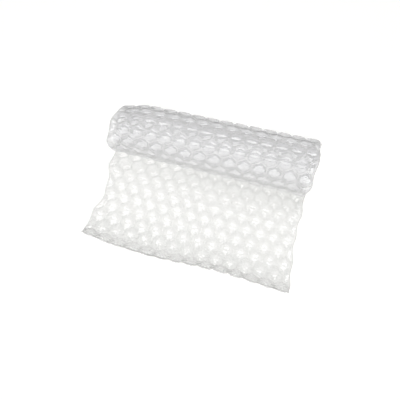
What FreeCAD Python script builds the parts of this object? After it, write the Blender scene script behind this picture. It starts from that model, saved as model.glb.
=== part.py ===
import FreeCAD, Part
import math
import os

# Air pillow film: one inflated, heat-sealed strip, loosely rolled up at the back
# with its free end laid out flat towards the front.
# Own frame in millimetres: +X along the roll, -Y towards the free end, +Z up,
# origin in the middle of the footprint, on the surface the film lies on.

CELL_PITCH = 27.0          # pillow to pillow across the film
CELLS_ACROSS = 14          # whole pillows in a full row
CELL_RADIUS = CELL_PITCH / math.sqrt(3.0)
ROW_PITCH = 1.5 * CELL_RADIUS
HALF_STEPS = 2 * CELLS_ACROSS
ROW_COUNT = 33

PILLOW_HEIGHT = 7.5        # pillow top to film middle where the pillow stands free
PRESSED_HEIGHT = 6.0       # the same where the next turn presses on it
HALF_PILLOW = 0.62         # the half pillows along the edges stand only this high
UNEVEN = 0.09              # some pillows hold this much less air than others
SEAL_HALF = 0.5            # half the thickness of a welded seam
SHOULDER_REACH = 0.60      # pillow shoulder, share of the way from crown to seam
SHOULDER_RISE = 0.82       # height of the shoulder, share of the crown height
BED_REACH = 0.52           # flattened patch of a pillow lying on its bed

FRONT_LIP = 1.2            # flat sealed lip in front of the first row, left end
FRONT_SKEW = 0.030         # the lip is torn off slightly aslant, wider to the right
FIRST_ROW_CUT = 0.65       # the tear passes this share of a cell in front of its middle
SCALLOP = 1.4              # how far the pillows draw the cut edges in and out
LEFT_EDGE = (2.5, 6.5, 140.0, 0.09)      # how the long edges wander in and out on the
RIGHT_EDGE = (-2.5, 3.0, 200.0, 1.16)    # free end: mean, swing, wave length and start
WANDER_GROWTH = 90.0       # the wander dies out over this length before the front edge
EDGE_PULL = 4.0            # both edges are drawn in over the top of the roll
PULL_RATE = 0.75

TAIL_LENGTH = 224.0        # free edge to the line where the roll leaves the bed
ROLL_SKEW = 0.015          # roll axis turned this much against the film rows
ROLL_RADIUS = 54.9         # roll axis to the middle of the outer turn
TURN_PITCH = 14.4          # one turn lies this far inside the last
FLAT_SPOT_SINK = 1.5       # a soft roll settles this far into its bed
ROLL_TAPER = 0.040         # the right end is this share larger, the left end smaller
ROLL_SHIFT = 5.0           # the roll sits this far left of the free end
SHIFT_LENGTH = 75.0        # and the film starts to go over to it this far ahead
TELESCOPE = 2.5            # turns creep in and out at the ends by this much
TELESCOPE_RATE = 0.9
NIP_LENGTH = 24.0          # pillows begin to give way this far before the turns meet
PRESS_LENGTH = 15.0        # and are fully pressed after this much more

CURL_LENGTH = 40.0         # the free end keeps some curl from the roll over this length
CURL_RADIUS = 36.0
CURL_WAVE = 3.0            # the curl starts nearer and farther along the edge
CORNER_CURL = 6.0          # and the left front corner curls up more
CORNER_REACH = 60.0
END_PINCH = 0.19           # left end of the roll sags in by this share at the back
PINCH_LENGTH = 54.0
PINCH_CENTRE = math.radians(125.0)
PINCH_SPREAD = math.radians(80.0)

FULL_CELL = 6
HALF_WIDTH = CELL_PITCH * CELLS_ACROSS / 2.0
FIRST_ROW = FRONT_LIP + FIRST_ROW_CUT * CELL_RADIUS
FLAT_START = CURL_LENGTH + CURL_WAVE + CORNER_CURL + BED_REACH * CELL_RADIUS
TANGENT_STEP = 0.5
SEW_TOLERANCE = 0.001
UPPER, LOWER = 1, -1


def ease(share):
    share = min(max(share, 0.0), 1.0)
    return share * share * (3.0 - 2.0 * share)


def turn_angle(run):
    """Angle wound after this length of film, on a spiral that closes in evenly."""
    shrink = TURN_PITCH / (2.0 * math.pi)
    return (ROLL_RADIUS - math.sqrt(ROLL_RADIUS ** 2 - 2.0 * shrink * run)) / shrink


def free_end(x, along):
    """Middle of the film on the laid-out part, as (y, z): flat, with its front edge curling up."""
    corner = ease((-x - HALF_WIDTH + CORNER_REACH) / CORNER_REACH)
    start = CURL_LENGTH + CURL_WAVE * math.sin(x / CURL_LENGTH) + CORNER_CURL * corner
    bend = max(start - along, 0.0) / CURL_RADIUS
    y = max(along, start) - TAIL_LENGTH - CURL_RADIUS * math.sin(bend)
    return y, PILLOW_HEIGHT + CURL_RADIUS * (1.0 - math.cos(bend))


def wound(x, run):
    """Middle of the film on the roll, as (y, z), bottom of the roll at y = 0."""
    angle = turn_angle(run)
    depth = TURN_PITCH * angle / (2.0 * math.pi)
    radius = ROLL_RADIUS - depth
    sag = ease((-x - HALF_WIDTH + PINCH_LENGTH) / PINCH_LENGTH)
    turned = math.atan2(math.sin(angle - PINCH_CENTRE), math.cos(angle - PINCH_CENTRE))
    radius *= 1.0 - END_PINCH * sag * ease(1.0 - abs(turned) / PINCH_SPREAD)
    rise = ROLL_RADIUS - FLAT_SPOT_SINK - radius * math.cos(angle)
    rise = max(rise, depth if angle > math.pi else 0.0)
    scale = 1.0 + ROLL_TAPER * x / HALF_WIDTH
    return scale * radius * math.sin(angle), PILLOW_HEIGHT + scale * rise


def film_middle(x, along):
    run = along - TAIL_LENGTH - ROLL_SKEW * x
    if run <= 0.0:
        y, z = free_end(x, along - ROLL_SKEW * x)
    else:
        y, z = wound(x, run)
    return y + ROLL_SKEW * x, z


def side_creep(x, along):
    """How far the film sits off its straight course, sideways."""
    angle = turn_angle(max(along - TAIL_LENGTH, 0.0))
    wound_in = ease(angle / math.pi)
    mean, swing, length, start = LEFT_EDGE if x < 0.0 else RIGHT_EDGE
    spread = mean + swing * math.sin(2.0 * math.pi * along / length + start)
    spread *= ease(along / WANDER_GROWTH) * (1.0 - wound_in)
    spread -= EDGE_PULL * max(math.sin(PULL_RATE * angle), 0.0)
    creep = wound_in * TELESCOPE * math.sin(TELESCOPE_RATE * angle)
    creep -= ROLL_SHIFT * ease((along - TAIL_LENGTH + SHIFT_LENGTH) / SHIFT_LENGTH)
    return creep + spread * (x / HALF_WIDTH) ** 3


def lay(x, along, height):
    """Point of the film: across, along, and height on the side that faces up when laid out."""
    y0, z0 = film_middle(x, along - TANGENT_STEP)
    y1, z1 = film_middle(x, along + TANGENT_STEP)
    y, z = film_middle(x, along)
    length = math.hypot(y1 - y0, z1 - z0)
    across = x + side_creep(x, along)
    return FreeCAD.Vector(across, y - height * (z1 - z0) / length, z + height * (y1 - y0) / length)


def seam_spot(row, step):
    """Where the seam zigzag behind a row passes a half-pitch step, as (x, along)."""
    x = step * CELL_PITCH / 2.0 - HALF_WIDTH
    reach = CELL_RADIUS / 2.0 if (step + row) % 2 == 0 else CELL_RADIUS
    if row < 0:
        reach = max(reach, ROW_PITCH - FIRST_ROW_CUT * CELL_RADIUS)
    if step in (0, HALF_STEPS):
        x += math.copysign(SCALLOP, x) * math.cos(math.pi * row)
    return x, FIRST_ROW + row * ROW_PITCH + reach


def lip_spot(step):
    """The torn front edge, drawn in a little at every pillow."""
    x = step * CELL_PITCH / 2.0 - HALF_WIDTH
    return x, SCALLOP * (math.cos(math.pi * step) - 1.0) / 2.0 - FRONT_SKEW * (x + HALF_WIDTH)


def pillow_height(x, along, side):
    """Crown height: full where the film lies open, less where turns press together."""
    run = along - TAIL_LENGTH
    outer_turn = 2.0 * math.pi * (ROLL_RADIUS - TURN_PITCH / 2.0)
    open_run = run if side == UPPER else run - outer_turn
    press = ease((open_run + NIP_LENGTH) / PRESS_LENGTH)
    slack = 0.0 if rests(along, side) else UNEVEN * math.sin(x * along) ** 2
    return (PILLOW_HEIGHT + (PRESSED_HEIGHT - PILLOW_HEIGHT) * press) * (1.0 - slack)


def rests(along, side):
    """True for the pillow sides that lie flat on the bed."""
    return side == LOWER and FLAT_START < along < TAIL_LENGTH


def cell_outline(row, step):
    spots = [(row - 1, step - 1), (row - 1, step), (row - 1, step + 1)]
    spots += [(row, step + 1), (row, step), (row, step - 1)]
    return [spot for spot in spots if 0 <= spot[1] <= HALF_STEPS]


def facet(corners):
    return Part.Face(Part.makePolygon(corners + corners[:1]))


def fan(ring, crown):
    return [facet([a, b, crown]) for a, b in zip(ring, ring[1:] + ring[:1])]


def band(outer, inner):
    faces = []
    for a, b, c, d in zip(outer, outer[1:] + outer[:1], inner[1:] + inner[:1], inner):
        faces += [facet([a, b, c]), facet([a, c, d])]
    return faces


def pillow(row, step, side):
    """One side of one pillow: seam, shoulder and crown, or a low tent where it is hidden."""
    outline = [seam_spot(*spot) for spot in cell_outline(row, step)]
    x = sum(spot[0] for spot in outline) / len(outline)
    along = sum(spot[1] for spot in outline) / len(outline)
    height = side * pillow_height(x, along, side) * (1.0 if len(outline) == FULL_CELL else HALF_PILLOW)
    seam = [lay(u, v, side * SEAL_HALF) for u, v in outline]
    crown = lay(x, along, height)
    if abs(height) <= PRESSED_HEIGHT and 1 < step < HALF_STEPS - 1:
        return fan(seam, crown)
    reach, rise = (BED_REACH, 1.0) if rests(along, side) else (SHOULDER_REACH, SHOULDER_RISE)
    shoulder = [lay(x + (u - x) * reach, along + (v - along) * reach, rise * height) for u, v in outline]
    cap = [facet(shoulder)] if rests(along, side) else fan(shoulder, crown)
    return band(seam, shoulder) + cap


def pillows(side):
    """The honeycomb: every other row is set half a pitch over, with half pillows at its ends."""
    faces = []
    for row in range(ROW_COUNT):
        for step in range(1 - row % 2, HALF_STEPS + 1, 2):
            faces += pillow(row, step, side)
    return faces


def front_lip(side):
    """Flat sealed strip between the torn edge and the first row."""
    faces = []
    for step in range(HALF_STEPS):
        edge = [lay(*lip_spot(step), side * SEAL_HALF), lay(*lip_spot(step + 1), side * SEAL_HALF)]
        seam = [lay(*seam_spot(-1, step), side * SEAL_HALF), lay(*seam_spot(-1, step + 1), side * SEAL_HALF)]
        faces += [facet([edge[0], edge[1], seam[1]]), facet([edge[0], seam[1], seam[0]])]
    return faces


def cut_edge(spots):
    """Thin face where the two webs meet along an edge of the strip."""
    faces = []
    for first, last in zip(spots, spots[1:]):
        low = [lay(*first, -SEAL_HALF), lay(*last, -SEAL_HALF)]
        high = [lay(*first, SEAL_HALF), lay(*last, SEAL_HALF)]
        faces += [facet([low[0], low[1], high[1]]), facet([low[0], high[1], high[0]])]
    return faces


def strip_edges():
    faces = cut_edge([lip_spot(step) for step in range(HALF_STEPS + 1)])
    faces += cut_edge([seam_spot(ROW_COUNT - 1, step) for step in range(HALF_STEPS + 1)])
    for step in (0, HALF_STEPS):
        faces += cut_edge([lip_spot(step)] + [seam_spot(row, step) for row in range(-1, ROW_COUNT)])
    return faces


def cushion_film():
    faces = pillows(UPPER) + pillows(LOWER) + front_lip(UPPER) + front_lip(LOWER) + strip_edges()
    skin = Part.Compound(faces)
    skin.sewShape(SEW_TOLERANCE)
    film = Part.Solid(skin.Shells[0])
    if film.Volume < 0.0:
        film.reverse()
    box = film.BoundBox
    film.translate(FreeCAD.Vector(-box.Center.x, -box.Center.y, -box.ZMin))
    return film


os.makedirs("parts", exist_ok=True)
cushion_film().exportStep("parts/cushion_film.step")
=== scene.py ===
import math
import bpy
import numpy as np
from mathutils import Matrix, Vector


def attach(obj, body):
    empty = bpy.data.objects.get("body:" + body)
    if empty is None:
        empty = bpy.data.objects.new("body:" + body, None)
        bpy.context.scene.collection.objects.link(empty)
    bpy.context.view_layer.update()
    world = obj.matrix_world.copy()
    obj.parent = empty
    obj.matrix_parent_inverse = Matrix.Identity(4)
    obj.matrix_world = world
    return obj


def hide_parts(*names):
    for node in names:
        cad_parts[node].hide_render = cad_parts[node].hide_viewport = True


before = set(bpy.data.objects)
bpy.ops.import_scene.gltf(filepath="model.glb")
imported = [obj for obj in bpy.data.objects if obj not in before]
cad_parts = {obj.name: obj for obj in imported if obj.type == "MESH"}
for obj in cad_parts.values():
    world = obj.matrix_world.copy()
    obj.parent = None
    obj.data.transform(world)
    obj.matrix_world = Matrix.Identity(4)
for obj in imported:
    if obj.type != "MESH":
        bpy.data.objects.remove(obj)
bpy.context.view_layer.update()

# Air pillow film, loosely rolled up at the back with its free end laid out flat.
# Metres, +X along the roll, -Y towards the free end, floor at z = 0. Film sizes are in mm.

mm = 0.001
fullTurn = 2 * math.pi
upper, lower = 1, -1             # the two webs, by the way they bulge

film = {
    "pillowPitch": 27.0,         # pillow to pillow across
    "pillowsAcross": 14,
    "rowCount": 33,
    "pillowHeight": 7.5,         # crown to film middle where it stands free
    "pressedHeight": 6.0,        # same between two turns
    "tightHeight": 5.0,          # and outside the roll, where the web is drawn tight
    "tightStart": 12.0,          # how far past the free end that sets in
    "tightLength": 36.0,
    "halfPillow": 0.62,          # half pillows along the sides, as a share of a whole one's height
    "uneven": 0.09,              # some pillows hold less air
    "frontFill": 0.5,            # the torn first row has lost much of its air
    "nextFill": 0.85,            # and the next a little
    "sealHalf": 0.22,            # half the thickness of a weld
    "weldFade": 0.9,             # height over which a weld's milky look dies out
    "frontLip": 1.2,             # flat welded edge in front of the first row
    "frontSkew": 0.030,          # how far out of square that edge is torn
    "firstRowCut": 0.65,         # front corners of the first row, as a share of a whole cell's
    "scallop": 1.4,              # how far the sides draw in at the welds
    "leftEdge": (2.5, 6.5, 140.0, 0.09),      # how the sides wander: mean, swing, wave length, start
    "rightEdge": (-2.5, 3.0, 200.0, 1.16),
    "wanderGrowth": 90.0,        # from the front edge until that is full
    "edgePull": 4.0,             # the sides draw in now and then round the roll
    "pullRate": 0.75,
}

roll = {
    "tailLength": 224.0,         # the strip in front of it
    "skew": 0.015,
    "radius": 54.9,
    "turnPitch": 14.4,           # turn to turn
    "flatSpotSink": 1.5,
    "taper": 0.040,              # slimmer on the left, fuller on the right
    "shift": 5.0,                # to the left of the free end
    "shiftLength": 75.0,
    "telescope": 2.5,            # turns slid to and fro along the roll
    "telescopeRate": 0.9,
    "nipLength": 24.0,           # pillows are pressed from this far before the roll
    "pressLength": 15.0,
    "pinch": 0.19,               # how far the left end has sagged in
    "pinchLength": 54.0,
    "pinchCentre": math.radians(125),
    "pinchSpread": math.radians(80),
    "middle": (-4.1081, -79.5281),   # work origin to the middle of the footprint
}

curl = {
    "length": 40.0,              # the torn edge lifts off the floor over this length
    "radius": 36.0,
    "wave": 3.0,
    "cornerRise": 6.0,           # the left corner from further back
    "cornerReach": 60.0,
    "settle": 0.52,              # cell radii behind it, where pillows lie on the floor again
}

halfPitch = film["pillowPitch"] / 2
cellRadius = film["pillowPitch"] / math.sqrt(3)
rowPitch = 1.5 * cellRadius
halfSteps = 2 * film["pillowsAcross"]
halfWidth = film["pillowPitch"] * film["pillowsAcross"] / 2
firstRow = film["frontLip"] + film["firstRowCut"] * cellRadius
flatStart = curl["length"] + curl["wave"] + curl["cornerRise"] + curl["settle"] * cellRadius


def ease(share):
    share = np.clip(share, 0, 1)
    return share * share * (3 - 2 * share)


def turnAngle(run):
    # angle wound after this length of film, on a spiral that closes in evenly
    shrink = roll["turnPitch"] / fullTurn
    left = roll["radius"] ** 2 - 2 * shrink * np.maximum(run, 0)
    return (roll["radius"] - np.sqrt(left)) / shrink


def freeEnd(x, along):
    corner = ease((-x - halfWidth + curl["cornerReach"]) / curl["cornerReach"])
    wave = curl["wave"] * np.sin(x / curl["length"])
    start = curl["length"] + wave + curl["cornerRise"] * corner
    bend = np.maximum(start - along, 0) / curl["radius"]
    y = np.maximum(along, start) - roll["tailLength"] - curl["radius"] * np.sin(bend)
    return y, film["pillowHeight"] + curl["radius"] * (1 - np.cos(bend))


def wound(x, run):
    angle = turnAngle(run)
    depth = roll["turnPitch"] * angle / fullTurn
    radius = roll["radius"] - depth
    sag = ease((-x - halfWidth + roll["pinchLength"]) / roll["pinchLength"])
    away = angle - roll["pinchCentre"]
    away = np.abs(np.arctan2(np.sin(away), np.cos(away)))
    radius = radius * (1 - roll["pinch"] * sag * ease(1 - away / roll["pinchSpread"]))
    rise = roll["radius"] - roll["flatSpotSink"] - radius * np.cos(angle)
    rise = np.maximum(rise, np.where(angle > math.pi, depth, 0))
    scale = 1 + roll["taper"] * x / halfWidth
    return scale * radius * np.sin(angle), film["pillowHeight"] + scale * rise


def filmMiddle(x, along):
    run = along - roll["tailLength"] - roll["skew"] * x
    flat, turned = freeEnd(x, along - roll["skew"] * x), wound(x, run)
    y, z = (np.where(run <= 0, a, b) for a, b in zip(flat, turned))
    return y + roll["skew"] * x, z


def sideCreep(x, along):
    # how far each place has moved sideways from the even strip
    angle = turnAngle(along - roll["tailLength"])
    woundIn = ease(angle / math.pi)
    left, right = (mean + swing * np.sin(fullTurn * along / length + start)
                   for mean, swing, length, start in (film["leftEdge"], film["rightEdge"]))
    spread = np.where(x < 0, left, right) * ease(along / film["wanderGrowth"]) * (1 - woundIn)
    spread = spread - film["edgePull"] * np.maximum(np.sin(film["pullRate"] * angle), 0)
    slide = woundIn * roll["telescope"] * np.sin(roll["telescopeRate"] * angle)
    near = ease((along - roll["tailLength"] + roll["shiftLength"]) / roll["shiftLength"])
    return slide - roll["shift"] * near + spread * (x / halfWidth) ** 3


def lay(x, along, height):
    # puts points of the flat strip where the film lies, as an array of metres
    step = 0.5               # mm either way, to find which way the film faces
    y0, z0 = filmMiddle(x, along - step)
    y1, z1 = filmMiddle(x, along + step)
    y, z = filmMiddle(x, along)
    slope = np.hypot(y1 - y0, z1 - z0)
    spots = np.stack([x + sideCreep(x, along) - roll["middle"][0],
                      y - height * (z1 - z0) / slope - roll["middle"][1],
                      z + height * (y1 - y0) / slope], 1)
    return spots * mm


def rests(along, side):
    return (side == lower) & (along > flatStart) & (along < roll["tailLength"])


def crownHeight(x, along, side):
    # full where the film lies open, less where turns press together
    run = along - roll["tailLength"]
    outerTurn = fullTurn * (roll["radius"] - roll["turnPitch"] / 2)
    openRun = run if side == upper else run - outerTurn
    press = ease((openRun + roll["nipLength"]) / roll["pressLength"])
    slack = np.where(rests(along, side), 0, film["uneven"] * np.sin(x * along) ** 2)
    tight = np.where(side == lower, ease((run - film["tightStart"]) / film["tightLength"]), 0)
    free = film["pillowHeight"] + (film["tightHeight"] - film["pillowHeight"]) * tight
    pressed = film["pressedHeight"]
    return (free + (pressed - free) * press) * (1 - slack)


pillow = {
    "cornerPull": 3.2,           # low rounds the crown off, high gives sharp creases to the corners
    # each of these three is for the slack free end, the strip lying flat, and the roll
    "fullness": (1.35, 1.45, 1.7),   # how far out the crown stays broad
    "wall": (0.97, 0.93, 0.88),      # low makes the walls steeper at the weld
    "stretch": (0.3, 1.2, 1.5),      # how far taut crowns are drawn out across the strip
    "stretchBias": 4,            # high leaves that to the two welds straight across
    "offCentre": 0.10,           # how unevenly the crown sits between its welds
    "sideRoom": 1.6,             # half pillows rise this much faster from the strip's side
    "sideRise": 1.5,
    "floorSpread": 1.16,         # undersides on the floor are broader
    "puckerLength": 5.2,         # gathers where a weld holds the film in
    "puckerDepth": 0.34,
    "puckerReach": 3.0,
    "puckerCalm": 0.4,           # shallower by this share where the strip is taut
    "slackRows": 2.5,            # this many rows at the free end aren't taut
    "slackFade": 2,              # and over this many more the film tightens
    "limp": (4.2, 1.5),          # how much deeper they are in the torn first row and the next
    "dent": 0.25,                # soft hollows left from handling
    "dentBias": 0.3,             # this share of them runs the other way up
    "dentLength": (2.2, 1.6),    # least, and how much longer some are
    "dentCalm": 0.5,
    "dentPhase": 6.0,            # radians, nearly a full turn
    "ridge": 0.3,                # ridges running out from the crown to the corners
    "ridgeReach": 2.5,           # high lets them run on nearer the weld
    "oddRidge": 0.4,             # every other one stands out by this share more
    "oddReach": 2.0,
    "drum": 0.9,                 # how much of all that the pull of the roll smooths out
    "hanging": 0.7,              # the turns go slack again low down in front
    "hangAngle": 3.9,            # radians wound
    "hangSpread": 0.7,
    "seed": 7,
}

edgeAngles = np.radians([0, 60, 120, 180, 240, 300])   # the six welds round a pillow
edgeNormals = np.stack([np.cos(edgeAngles), np.sin(edgeAngles)], 1)
weldRoom = 0.02              # mm, so that the room at a weld is never nothing


def cellChance(row, step, count, salt):
    # the same few random numbers for a pillow each time, whichever piece asks
    draw = np.random.default_rng(pillow["seed"] + salt)
    return draw.random((film["rowCount"] + 2, halfSteps + 1, count))[row, step]


def crownLift(gaps, rim, half, taut, onRoll, chance):
    # how near the crown each place is, and the share of its height reached there
    shapes = (pillow["fullness"], pillow["wall"], pillow["stretch"])
    fullness, wall, stretch = (slack + (flat - slack) * taut + (tight - flat) * onRoll
                               for slack, flat, tight in shapes)
    weight = 1 + pillow["offCentre"] * (2 * chance[:, :6] - 1)
    weight = weight * (1 + stretch[:, None] * np.abs(edgeNormals[:, 0]) ** pillow["stretchBias"])
    power = -pillow["cornerPull"]
    room = np.sum((np.maximum(gaps * weight, 0) + weldRoom) ** power, 1)
    full = np.sum((halfPitch * weight) ** power, 1)
    room = room + (np.maximum(pillow["sideRoom"] * rim, 0) + weldRoom) ** power
    reach = np.clip((room / full) ** (1 / power), 0, 1)
    reach = np.where(half, np.clip(reach * pillow["sideRise"], 0, 1), reach)
    return reach, (1 - (1 - reach) ** fullness) ** wall


def puckers(offset, gaps, rim, row, taut, chance):
    # gathers beside the nearest weld, dying out at the corners
    near = np.argmin(gaps, 1)
    pick = np.arange(len(row))
    gap = np.maximum(np.minimum(gaps[pick, near], rim), 0)
    tangent = np.stack([-edgeNormals[near, 1], edgeNormals[near, 0]], 1)
    place = np.sum(offset * tangent, 1)
    phase = fullTurn * chance[pick, 6 + near]
    envelope = gap / pillow["puckerReach"] * np.exp(1 - gap / pillow["puckerReach"])
    envelope = envelope * np.clip(1 - (2 * place / cellRadius) ** 2, 0, 1)
    first, second = pillow["limp"]
    limp = 1 + np.where(row == 0, first, 0) + np.where(row == 1, second, 0)
    depth = limp * (1 - pillow["puckerCalm"] * taut) * pillow["puckerDepth"] * envelope
    return depth * np.sin(fullTurn * place / pillow["puckerLength"] + phase)


def dents(offset, reach, taut, chance):
    # a shallow hollow or two on each crown
    turn = fullTurn * chance[:, 12]
    across = offset[:, 0] * np.cos(turn) + offset[:, 1] * np.sin(turn)
    least, more = pillow["dentLength"]
    wave = np.cos(across / (least + more * chance[:, 14]) + pillow["dentPhase"] * chance[:, 15])
    hollow = pillow["dent"] * (chance[:, 13] - pillow["dentBias"]) * wave
    return hollow * reach * (1 - pillow["dentCalm"] * taut)


def ridges(offset, reach, chance):
    theta = np.arctan2(offset[:, 1], offset[:, 0])
    out = np.hypot(offset[:, 0], offset[:, 1]) / halfPitch
    start = pillow["dentPhase"] * chance[:, 15]
    six = np.cos(6 * theta) * np.clip(reach * pillow["ridgeReach"], 0, 1)
    three = np.cos(3 * theta + start) * np.clip(reach * pillow["oddReach"], 0, 1)
    return pillow["ridge"] * out ** 2 * (pillow["oddRidge"] * three - six)


def slackLeft(cy):
    # the share of creases that the pull of the roll leaves in a row
    angle = np.mod(turnAngle(cy - roll["tailLength"]), fullTurn)
    hanging = ease((angle - pillow["hangAngle"]) / pillow["hangSpread"])
    drum = pillow["drum"] * (1 - pillow["hanging"] * hanging)
    return 1 - drum * ease((cy - roll["tailLength"] + rowPitch) / (2 * rowPitch))


def pillowSkin(x, along, row, step, side):
    # height of one web over the film middle, pillow by pillow
    cx = step * halfPitch - halfWidth
    cy = firstRow + row * rowPitch
    offset = np.stack([x - cx, along - cy], 1)
    chance = cellChance(row, step, 16, side + 1)
    gaps = halfPitch - offset @ edgeNormals.T
    half = (step == 0) | (step == halfSteps)
    rim = np.where(half, halfWidth - np.abs(x), np.inf)
    taut = ease((row - pillow["slackRows"]) / pillow["slackFade"])
    onRoll = ease((cy - roll["tailLength"]) / (2 * rowPitch))
    reach, lift = crownLift(gaps, rim, half, taut, onRoll, chance)
    height = crownHeight(cx, cy, side) * np.where(half, film["halfPillow"], 1)
    height = height * np.where(row == 0, film["frontFill"], 1) * np.where(row == 1, film["nextFill"], 1)
    lying = rests(cy, side)
    lift = np.where(lying, np.minimum(pillow["floorSpread"] * lift, 1), lift)
    seal = film["sealHalf"]
    skin = seal + (height - seal) * lift
    creases = puckers(offset, gaps, rim, row, taut, chance) + dents(offset, reach, taut, chance)
    creases = creases + ridges(offset, reach, chance)
    rough = np.where(lying, 0, creases) * slackLeft(cy)
    return side * np.maximum(skin + rough, seal)


def nearestCell(steps, rows):
    # the pillow that a place belongs to, from half-pitch steps and rows
    tie = 1e-9               # square mm, so that a place midway stays with the row before
    best, found = None, None
    base = np.floor(rows).astype(int)
    for shift in (-1, 0, 1, 2):
        row = base + shift
        parity = (row + 1) % 2
        step = (2 * np.round((steps - parity) / 2) + parity).astype(int)
        far = ((steps - step) * halfPitch) ** 2 + ((rows - row) * rowPitch) ** 2
        if best is None:
            best, found = far, [row, step]
        else:
            closer = far < best - tie
            best = np.where(closer, far, best)
            found = [np.where(closer, new, old) for new, old in zip((row, step), found)]
    return found


def stripGrid(rows, fine):
    # even triangles over whole rows of pillows, welds on grid lines: a column is half a pitch / fine
    # wide, and a row of pillows is three times fine grid lines long
    first, last = rows
    perRow = 3 * fine
    cols = np.arange(halfSteps * fine)
    triangles = []
    for line in range(perRow * (first - 1), perRow * (last + 1)):
        # one triangle for each column, pointing the other way where the parity flips
        even, odd = cols[(cols + line) % 2 == 0], cols[(cols + line) % 2 == 1]
        here = np.full(len(even), line)
        triangles.append(np.stack([even, here, even + 1, here - 1, even + 1, here + 1], 1))
        here = np.full(len(odd), line)
        triangles.append(np.stack([odd, here - 1, odd + 1, here, odd, here + 1], 1))
    corners = np.concatenate(triangles).reshape(-1, 3, 2)
    centre = corners.mean(1)
    row, step = nearestCell(centre[:, 0] / fine, centre[:, 1] / perRow)
    keep = (row >= first) & (row <= last)
    return corners[keep], row[keep], step[keep]


def flatPlace(spots, fine):
    # grid numbers to mm on the flat strip, with the torn front and drawn-in sides, and without
    gridX = spots[:, 0] * halfPitch / fine - halfWidth
    gridAlong = firstRow + spots[:, 1] * cellRadius / (2 * fine)
    front = firstRow - cellRadius / 2
    squash = 2 * film["firstRowCut"] - 1
    along = np.where(gridAlong < front, front - squash * (front - gridAlong), gridAlong)
    inset = np.clip(1 - (halfWidth - np.abs(gridX)) / halfPitch, 0, 1) ** 2
    wave = np.cos(math.pi * (along - firstRow - rowPitch / 2) / rowPitch)
    return gridX + np.sign(gridX) * film["scallop"] * wave * inset, along, gridX, gridAlong


lip = {
    "rows": 3,
    "ripple": 1.3,               # how far the torn edge waves up and down
    "rippleLength": 25.0,
    "swell": (0.3, 1.0),         # least and most share of that ripple, place by place
    "wander": 1.1,               # and in and out
    "ragged": 0.22,
    "soften": (0.25, 0.5, 0.25),
    "seed": 11,
}


def tornLip(spots, x, along, fine, faces):
    # flat welded strip between the first row and the torn edge, rippled and a little ragged
    cols = np.arange(halfSteps * fine + 1)
    front = []
    for col in cols:
        here = np.flatnonzero(spots[:, 0] == col)
        front.append(here[np.argmin(spots[here, 1])])
    front = np.array(front)
    chance = np.random.default_rng(lip["seed"])
    edge = film["scallop"] * (np.cos(math.pi * cols / fine) - 1) / 2
    edge = edge - film["frontSkew"] * (x[front] + halfWidth)
    edge = edge + np.convolve(chance.normal(0, lip["ragged"], len(cols)), lip["soften"], "same")
    knots = np.arange(halfSteps + 1)
    edge = edge + np.interp(cols / fine, knots, chance.normal(0, lip["wander"], len(knots)))
    swell = np.interp(cols / fine, knots, chance.uniform(*lip["swell"], len(knots)))
    across, up, bend = [], [], []
    last = front
    for row in range(1, lip["rows"] + 1):
        share = row / lip["rows"]
        here = len(x) + (row - 1) * len(cols) + np.arange(len(cols))
        across.append(x[front])
        up.append(along[front] + (edge - along[front]) * share)
        wave = np.sin(fullTurn * x[front] / lip["rippleLength"] + share)
        bend.append(lip["ripple"] * share * swell * wave)
        faces = np.concatenate([faces, np.stack([here[:-1], here[1:], last[1:]], 1),
                                np.stack([here[:-1], last[1:], last[:-1]], 1)])
        last = here
    return np.concatenate(across), np.concatenate(up), np.concatenate(bend), faces


gatherAndShade = {
    # how closely the film is bunched, and how much painted shade is laid on, place by place, with
    # lengths in mm
    # denser at the torn free end: crumpled rows, and painted shade where the curl turns from the lamps
    "freeEnd": 0.85,
    "freeRows": 4,
    "ends": 1.1,
    "underShadow": 0.5,                # painted shadow of the roll on the strip just in front of it
    "underSlant": 0.5,           # more of it towards the right
    "underReach": 66.0,
    "underLength": 34.0,
    "far": 1.1,                  # denser over the roll's far side, which darkens that edge
    "farAngle": 2.0,             # radians wound
    "farSpread": 0.5,
    "nipLift": 0.4,                  # less dense low down in front: painted light that lifts the shade at the nip
    "nipAngle": 4.3,
    "nipSpread": 0.6,
}


def bunchingAndShade(x, along, onRoll):
    # how much film gathers in one place, about 1 at the drawn-in ends of the roll, with painted shade
    # and light added in
    angle = turnAngle(along - roll["tailLength"])
    ends = ease((roll["pinchLength"] - halfWidth - x) / roll["pinchLength"])
    ends = ends + ease((x - halfWidth) / film["pillowPitch"] + 1)
    far = np.exp(-((angle - gatherAndShade["farAngle"]) / gatherAndShade["farSpread"]) ** 2)
    nipLift = ease((np.mod(angle, fullTurn) - gatherAndShade["nipAngle"]) / gatherAndShade["nipSpread"])
    underShadow = ease((along - roll["tailLength"] + gatherAndShade["underReach"]) / gatherAndShade["underLength"])
    underShadow = underShadow * (1 + gatherAndShade["underSlant"] * x / halfWidth)
    front = ease(1 - along / (gatherAndShade["freeRows"] * rowPitch))
    loose = gatherAndShade["freeEnd"] * front + gatherAndShade["underShadow"] * underShadow
    tight = gatherAndShade["ends"] * ends + gatherAndShade["far"] * far - gatherAndShade["nipLift"] * nipLift * (1 - ends)
    return loose + (tight - loose) * onRoll


def rimEdges(faces):
    # edges with a face on one side only, in the order that face runs
    edges = np.concatenate([faces[:, [0, 1]], faces[:, [1, 2]], faces[:, [2, 0]]])
    count = faces.max() + 1
    code, back = edges @ (count, 1), edges @ (1, count)
    return edges[~np.isin(code, back)]


pieces = {
    # first and last row of pillows, grid steps to half a pillow; cut along welds
    "filmFreeEnd": (0, 10, 8),
    "filmOuterTurn": (11, 22, 8),
    "filmInnerTurns": (23, film["rowCount"] - 1, 6),      # coarser, seen only through the outer turn
}


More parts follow.
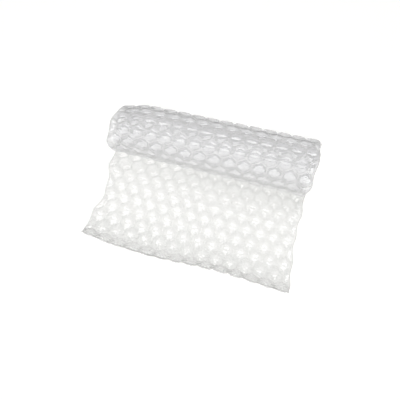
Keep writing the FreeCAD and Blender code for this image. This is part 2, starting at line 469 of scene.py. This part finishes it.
def buildFilm(name, rows, fine, material):
    # one closed piece: both webs over these rows, meeting at the welds that bound them
    corners, row, step = stripGrid(rows, fine)
    keys = corners.reshape(-1, 2)
    code = keys @ (np.ptp(keys[:, 1]) + 1, 1)
    index, inverse = np.unique(code, return_index=True, return_inverse=True)[1:]
    spots = keys[index]
    faces = inverse.reshape(-1, 3)
    owner = np.repeat(np.arange(len(faces)), 3)
    cellRow, cellStep = np.empty(len(spots), int), np.empty(len(spots), int)
    cellRow[inverse.ravel()] = row[owner]   # each point takes the pillow of one of its own faces
    cellStep[inverse.ravel()] = np.clip(step[owner], 0, halfSteps)
    x, along, gridX, gridAlong = flatPlace(spots, fine)
    skins = [pillowSkin(gridX, gridAlong, cellRow, cellStep, side) for side in (upper, lower)]
    if rows[0] == 0:
        lipX, lipAlong, bend, faces = tornLip(spots, x, along, fine, faces)
        x, along = np.concatenate([x, lipX]), np.concatenate([along, lipAlong])
        skins = [np.concatenate([skin, bend + side * film["sealHalf"]])
                 for skin, side in zip(skins, (upper, lower))]
    count = len(x)
    points = np.concatenate([lay(x, along, skin) for skin in skins])
    a, b = rimEdges(faces).T
    walls = np.concatenate([np.stack([b, a, a + count], 1), np.stack([b, a + count, b + count], 1)])
    faces = np.concatenate([faces, faces[:, ::-1] + count, walls])
    height = np.abs(np.concatenate(skins)) - film["sealHalf"]
    onRoll = ease((along - roll["tailLength"]) / rowPitch)
    marks = {
        "weld": np.exp(-np.maximum(height, 0) / film["weldFade"]),
        "wound": np.tile(onRoll, 2),
        "bunchedAndShade": np.tile(bunchingAndShade(x, along, onRoll), 2),
    }
    share = np.stack([(x + halfWidth) / (2 * halfWidth), (along - along.min()) / np.ptp(along)], 1)
    piece = makePiece(name, points, faces, share, marks, material)
    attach(piece, "root")
    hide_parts("cushion_film")


def makePiece(name, points, faces, share, marks, material):
    mesh = bpy.data.meshes.new(name)
    mesh.from_pydata(points.tolist(), [], faces.tolist())
    mesh.validate()
    mesh.shade_smooth()
    mesh.materials.append(material)
    # both webs spread out flat side by side, for anything painted on them later
    margin, wide, second = 0.01, 0.49, 0.505
    share = (margin + (1 - 2 * margin) * share) * (wide, 1)
    spread = np.concatenate([share, share + (second, 0)])
    loops = np.empty(len(mesh.loops), int)
    mesh.loops.foreach_get("vertex_index", loops)
    layer = mesh.uv_layers.new(name="OFBake")
    layer.uv.foreach_set("vector", spread[loops].astype(np.float32).ravel())
    for mark, values in marks.items():
        data = mesh.attributes.new(mark, "FLOAT", "POINT").data
        data.foreach_set("value", values.astype(np.float32))
    return addObject(name, mesh)


def addObject(name, data):
    made = bpy.data.objects.new(name, data)
    bpy.context.scene.collection.objects.link(made)
    return made


def colour(code):
    # sRGB hex to the linear values a shader takes
    parts = [int(code[i:i + 2], 16) / 255 for i in (1, 3, 5)]
    return [p / 12.92 if p <= 0.04045 else ((p + 0.055) / 1.055) ** 2.4 for p in parts] + [1]


def emptyTree(owner):
    owner.use_nodes = True
    owner.node_tree.nodes.clear()
    return owner.node_tree


def addNode(tree, kind, settings=None, links=None):
    # settings are attributes or input values, links are input name -> output socket
    node = tree.nodes.new(kind)
    for key, value in (settings or {}).items():
        if hasattr(node, str(key)):
            setattr(node, key, value)
        else:
            node.inputs[key].default_value = value
    for key, socket in (links or {}).items():
        tree.links.new(socket, node.inputs[key])
    return node


filmLook = {
    "milk": "#E9E9E8",           # haze in the film
    "rollShadeMilk": "#E6E6E7",      # the film on the roll a touch greyer: painted shade for the dimmer, many-layered roll
    "weldTint": "#DCDCDA",
    "edgeTint": "#97979A",       # looking along the film rather than through it
    "edgePower": 6.0,            # high keeps that tint to the very edge
    "clear": 0.26,               # share of light each web stops, seen square on
    "grazing": 0.75,             # and edge on
    "falloff": 3.2,              # high keeps the change near the edge
    # added to that share: where the webs are fused, in the roll, and where film gathers or shade is
    # painted
    "dense": {"weld": 0.06, "wound": 0.02, "bunchedAndShade": 0.20},
    "roughness": 0.08,
    "ior": 1.51,                 # polyethylene
    "gloss": 0.34,               # by way of Metallic, as both faces of a web mirror the lamps
    "wrinkle": 2.6,              # mm, fine wrinkles in the blown film, no finer than shows
    "wrinkleDepth": 0.4,         # mm
    "wrinkleStrength": 0.35,
    "shade": 0.03,               # share of its own shadow that the film casts, as light gets through
}


def blownFilm():
    # Blown polyethylene film, heat sealed: clear with a faint milky haze, so the floor and the
    # pillows behind show through, and broad soft highlights where the skin is drawn tight.
    look = filmLook
    material = bpy.data.materials.new("blownPolyethyleneFilm")
    tree = emptyTree(material)
    marks = {mark: addNode(tree, "ShaderNodeAttribute", {"attribute_name": mark}).outputs["Fac"]
             for mark in look["dense"]}
    place = addNode(tree, "ShaderNodeTexCoord")
    creases = addNode(tree, "ShaderNodeTexNoise",
                      {"Scale": 1 / (look["wrinkle"] * mm), "Detail": 2.0, "Roughness": 0.5},
                      {"Vector": place.outputs["Object"]})
    bump = addNode(tree, "ShaderNodeBump",
                   {"Strength": look["wrinkleStrength"], "Distance": look["wrinkleDepth"] * mm},
                   {"Height": creases.outputs["Fac"]})
    facing = addNode(tree, "ShaderNodeLayerWeight", {"Blend": 0.5}, {"Normal": bump.outputs["Normal"]})
    edgeOn, steep = (addNode(tree, "ShaderNodeMath", {"operation": "POWER", 1: power},
                             {0: facing.outputs["Facing"]}).outputs["Value"]
                     for power in (look["edgePower"], look["falloff"]))
    # greyer on the roll: painted shade
    tint = addNode(tree, "ShaderNodeMix",
                   {"data_type": "RGBA", 6: colour(look["milk"]), 7: colour(look["rollShadeMilk"])},
                   {"Factor": marks["wound"]})
    for code, amount in ((look["weldTint"], marks["weld"]), (look["edgeTint"], edgeOn)):
        tint = addNode(tree, "ShaderNodeMix", {"data_type": "RGBA", 7: colour(code)},
                       {"Factor": amount, 6: tint.outputs[2]})
    skin = addNode(tree, "ShaderNodeBsdfPrincipled",
                   {"Roughness": look["roughness"], "IOR": look["ior"],
                    "Specular IOR Level": 1.0, "Metallic": look["gloss"]},
                   {"Base Color": tint.outputs[2], "Normal": bump.outputs["Normal"]})
    solid = addNode(tree, "ShaderNodeMapRange", {"To Min": look["clear"], "To Max": look["grazing"]},
                    {"Value": steep}).outputs["Result"]
    # the bunched mark also darkens as painted shade in front of the roll and at the free end, and
    # lightens the nip as painted light
    for mark, amount in look["dense"].items():
        solid = addNode(tree, "ShaderNodeMath",
                        {"operation": "MULTIPLY_ADD", 1: amount, "use_clamp": True},
                        {0: marks[mark], 2: solid}).outputs["Value"]
    through = addNode(tree, "ShaderNodeBsdfTransparent")
    seen = addNode(tree, "ShaderNodeMixShader", None,
                   {"Fac": solid, 1: through.outputs["BSDF"], 2: skin.outputs["BSDF"]})
    path = addNode(tree, "ShaderNodeLightPath")
    unshaded = addNode(tree, "ShaderNodeMath", {"operation": "MULTIPLY", 1: 1 - look["shade"]},
                       {0: path.outputs["Is Shadow Ray"]})
    lit = addNode(tree, "ShaderNodeMixShader", None,
                  {"Fac": unshaded.outputs["Value"], 1: seen.outputs["Shader"],
                   2: through.outputs["BSDF"]})
    addNode(tree, "ShaderNodeOutputMaterial", None, {"Surface": lit.outputs["Shader"]})
    return material


view = {
    "azimuth": 15.6,
    "elevation": 65.6,
    "lean": 0.38,
    "distance": 0.7945,
    "target": (-0.00190, -0.00206, 0.0),
    "lens": 37.17,
    "farthest": 20.0,
}


def buildCamera():
    tilt = (Matrix.Rotation(math.radians(view["azimuth"]), 4, "Z")
            @ Matrix.Rotation(math.radians(90 - view["elevation"]), 4, "X")
            @ Matrix.Rotation(math.radians(view["lean"]), 4, "Z"))
    data = bpy.data.cameras.new("studioCamera")
    data.lens = view["lens"]
    data.clip_end = view["farthest"]
    camera = addObject("studioCamera", data)
    back = tilt @ Vector((0, 0, 1))
    camera.matrix_world = Matrix.Translation(Vector(view["target"]) + view["distance"] * back) @ tilt
    bpy.context.scene.camera = camera


lamps = {
    # width, length and distance in metres, degrees down from overhead, degrees round from the
    # front, watts
    "backStrip": (2.6, 1.0, 3.0, 17.0, 180, 20.0),      # the roll's upper row of highlights
    "frontStrip": (2.6, 0.9, 3.0, 33.0, 0, 16.0),       # and the next row down
    "frontSoftbox": (5.0, 3.0, 4.0, 68.0, 0, 82.0),
    "backSoftbox": (5.0, 3.0, 4.0, 55.0, 180, 34.0),
    "leftSoftbox": (4.0, 3.0, 4.0, 55.0, -90, 26.0),
    "rightSoftbox": (4.0, 3.0, 4.0, 55.0, 90, 26.0),
}


def buildLamps():
    for name, (wide, long, away, tilt, bearing, watts) in lamps.items():
        data = bpy.data.lights.new(name, "AREA")
        data.shape = "RECTANGLE"
        data.size, data.size_y, data.energy = wide, long, watts
        tilt, bearing = math.radians(tilt), math.radians(bearing)
        out = away * math.sin(tilt)
        lamp = addObject(name, data)
        lamp.location = (out * math.sin(bearing), -out * math.cos(bearing), away * math.cos(tilt))
        lamp.rotation_euler = (tilt, 0, bearing)


backdrop = {
    "paper": "#F6F6F4",
    "roughness": 0.9,
    "gloss": 0.2,
    "lift": 0.225,               # draws the paper up to white, but lights nothing
    "half": 6.0,                 # metres from the middle to each side
    "gap": 0.0002,               # metres, so that it never touches the film's own faces
    "air": 0.18,                 # dim light from all round
}


def buildFloor():
    # Matte coated paper, calendered: hardly any gloss, so it shows its colour and soft shadows.
    half = backdrop["half"]
    mesh = bpy.data.meshes.new("paleFloor")
    mesh.from_pydata([(-half, -half, 0), (half, -half, 0), (half, half, 0), (-half, half, 0)],
                     [], [(0, 1, 2, 3)])
    floor = addObject("paleFloor", mesh)
    floor.location.z = -backdrop["gap"]
    material = bpy.data.materials.new("mattePaperFloor")
    mesh.materials.append(material)
    tree = emptyTree(material)
    paper = addNode(tree, "ShaderNodeBsdfPrincipled",
                    {"Base Color": colour(backdrop["paper"]), "Roughness": backdrop["roughness"],
                     "Specular IOR Level": backdrop["gloss"]})
    path = addNode(tree, "ShaderNodeLightPath")
    seen = path.outputs["Is Camera Ray"]
    for ray in ("Is Glossy Ray", "Is Transmission Ray"):
        seen = addNode(tree, "ShaderNodeMath", {"operation": "ADD", "use_clamp": True},
                       {0: seen, 1: path.outputs[ray]}).outputs["Value"]
    lift = addNode(tree, "ShaderNodeMath", {"operation": "MULTIPLY", 1: backdrop["lift"]}, {0: seen})
    glow = addNode(tree, "ShaderNodeEmission", None, {"Strength": lift.outputs["Value"]})
    both = addNode(tree, "ShaderNodeAddShader", None,
                   {0: paper.outputs["BSDF"], 1: glow.outputs["Emission"]})
    addNode(tree, "ShaderNodeOutputMaterial", None, {"Surface": both.outputs["Shader"]})


def buildWorld():
    world = bpy.data.worlds.new("paleStudio")
    tree = emptyTree(world)
    air = addNode(tree, "ShaderNodeBackground", {"Color": (1, 1, 1, 1), "Strength": backdrop["air"]})
    addNode(tree, "ShaderNodeOutputWorld", None, {"Surface": air.outputs["Background"]})
    bpy.context.scene.world = world


scene = bpy.context.scene
scene.view_settings.view_transform = "Standard"
scene.cycles.transparent_max_bounces = 32    # sight has to pass many webs in the roll

buildCamera()
buildLamps()
buildFloor()
buildWorld()
print("studio set")

skinMaterial = blownFilm()
for name, (first, last, fine) in pieces.items():
    buildFilm(name, (first, last), fine, skinMaterial)
    print(name, "blown and laid, rows", first, "to", last)
